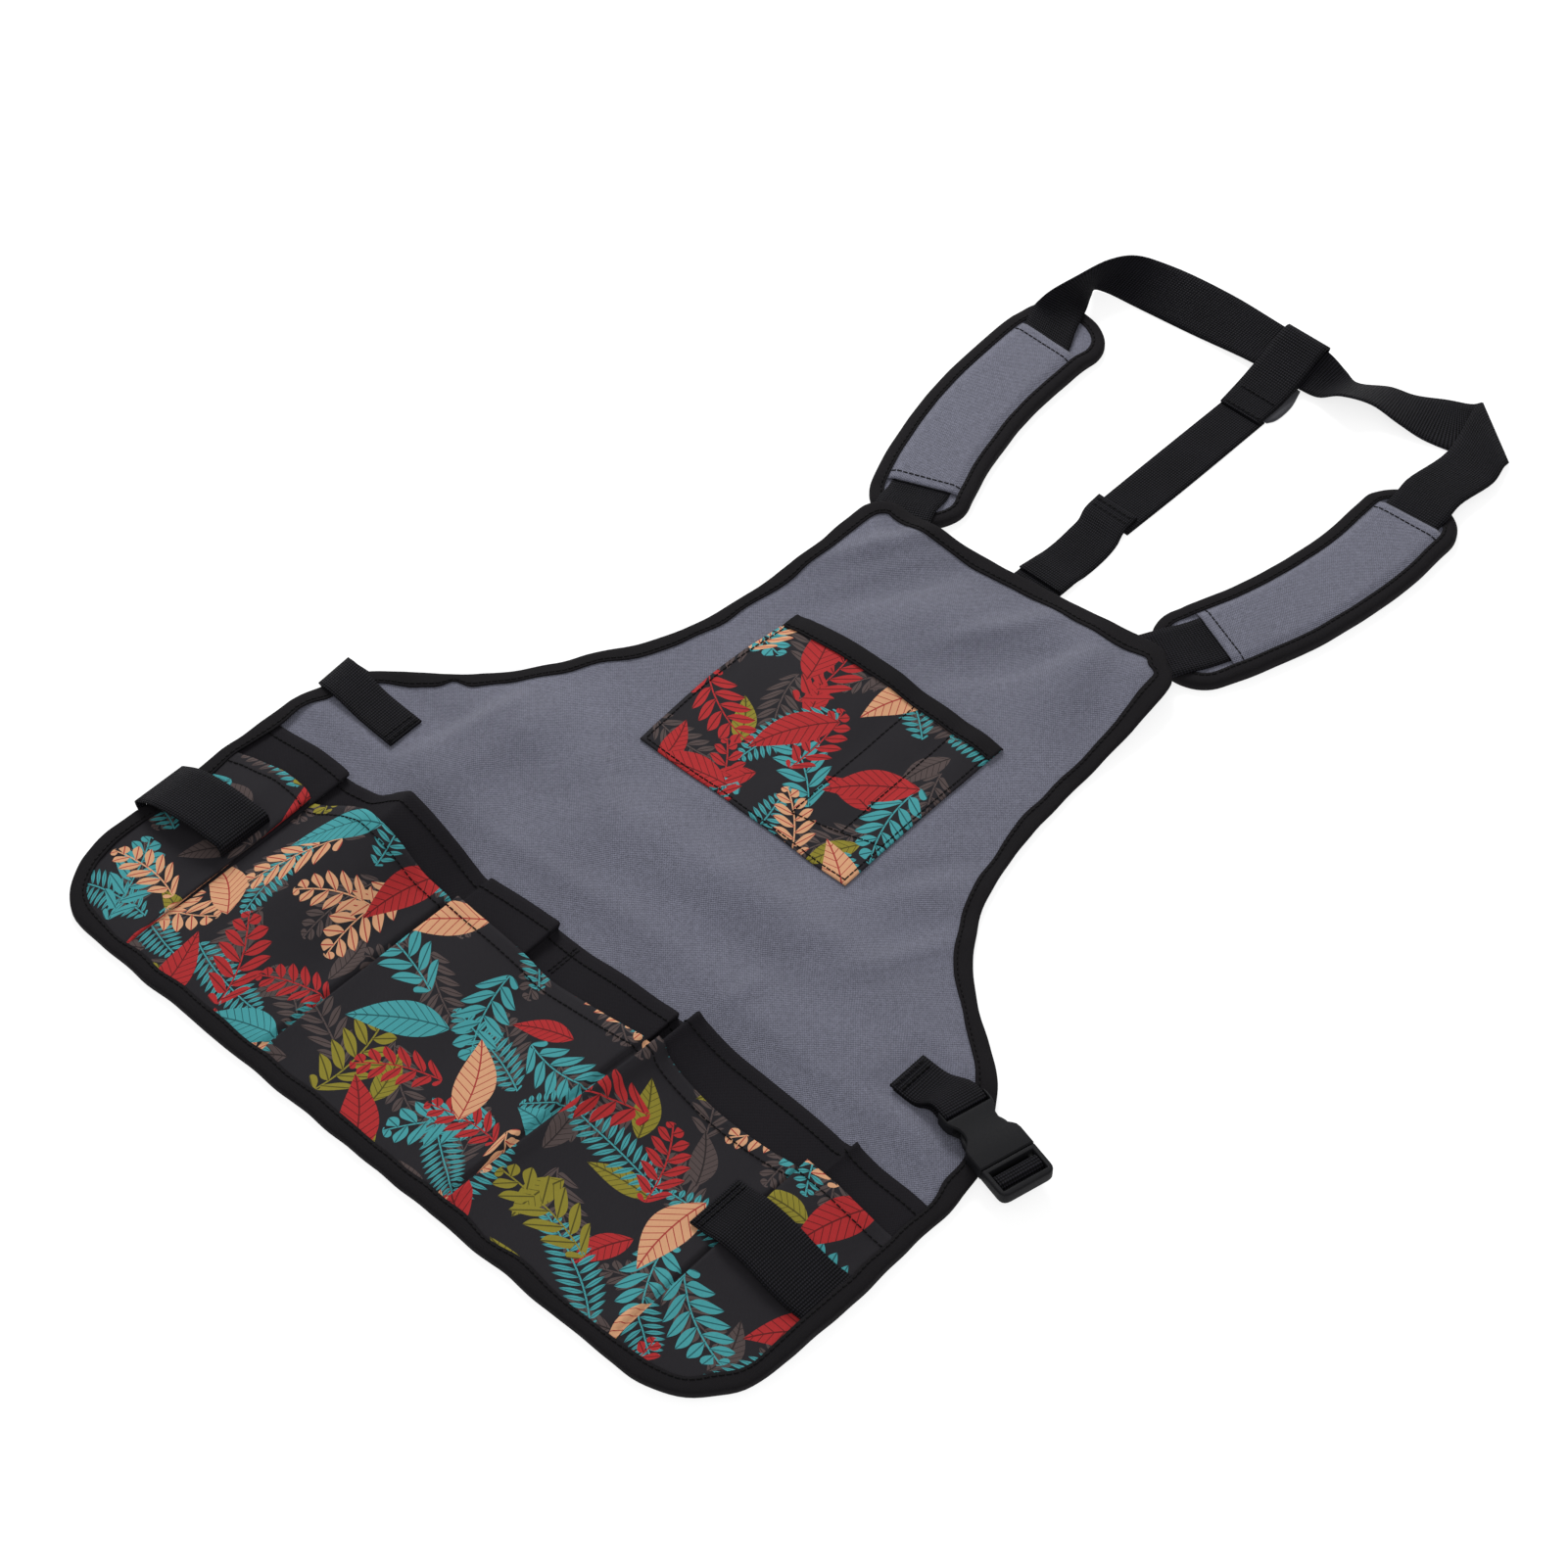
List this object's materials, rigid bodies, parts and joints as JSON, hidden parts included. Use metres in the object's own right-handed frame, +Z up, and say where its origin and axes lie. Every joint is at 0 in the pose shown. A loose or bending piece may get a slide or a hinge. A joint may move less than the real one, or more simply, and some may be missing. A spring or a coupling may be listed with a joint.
{
  "type": "tool apron",
  "caption": "Bib tool apron lying flat, with bound edges, rows of printed and plain pockets, tool loops, a buckled waist belt and padded crossing shoulder straps.",
  "frame": {"origin": "on the surface that the apron lies on, under the middle of the whole apron with its straps", "axes": "+X to the right across the apron as seen from above, +Y from the hem up to the shoulder straps, +Z up from the surface"},
  "size_m": [0.619, 0.9634, 0.0341],
  "materials": {
    "grey_cloth": "matte woven",
    "black_tape": "matte woven tape",
    "black_cloth": "matte woven",
    "printed_cloth": "matte print of leaves on charcoal",
    "webbing": "ribbed webbing",
    "buckle_plastic": "fine moulded grain",
    "patch_cloth": "matte felt"
  },
  "bodies": {
    "root": {"body_panel": "grey_cloth", "left_pad_base": "grey_cloth", "right_pad_base": "grey_cloth", "left_pad_sleeve": "grey_cloth", "right_pad_sleeve": "grey_cloth", "edge_binding": "black_tape", "chest_pocket_tape": "black_tape", "left_pad_binding": "black_tape", "right_pad_binding": "black_tape", "back_pocket_row": "black_cloth", "front_pocket_row": "printed_cloth", "chest_pocket": "printed_cloth", "left_tool_loop": "webbing", "right_tool_loop": "webbing", "waist_belt": "webbing", "buckle_tab": "webbing", "shoulder_strap": "webbing", "centre_strap_upper": "webbing", "strap_insert": "webbing", "centre_strap_lower": "webbing", "junction_loop": "webbing", "buckle_socket": "buckle_plastic", "buckle_plug": "buckle_plastic", "junction_patch": "patch_cloth"}
  },
  "joints": []
}
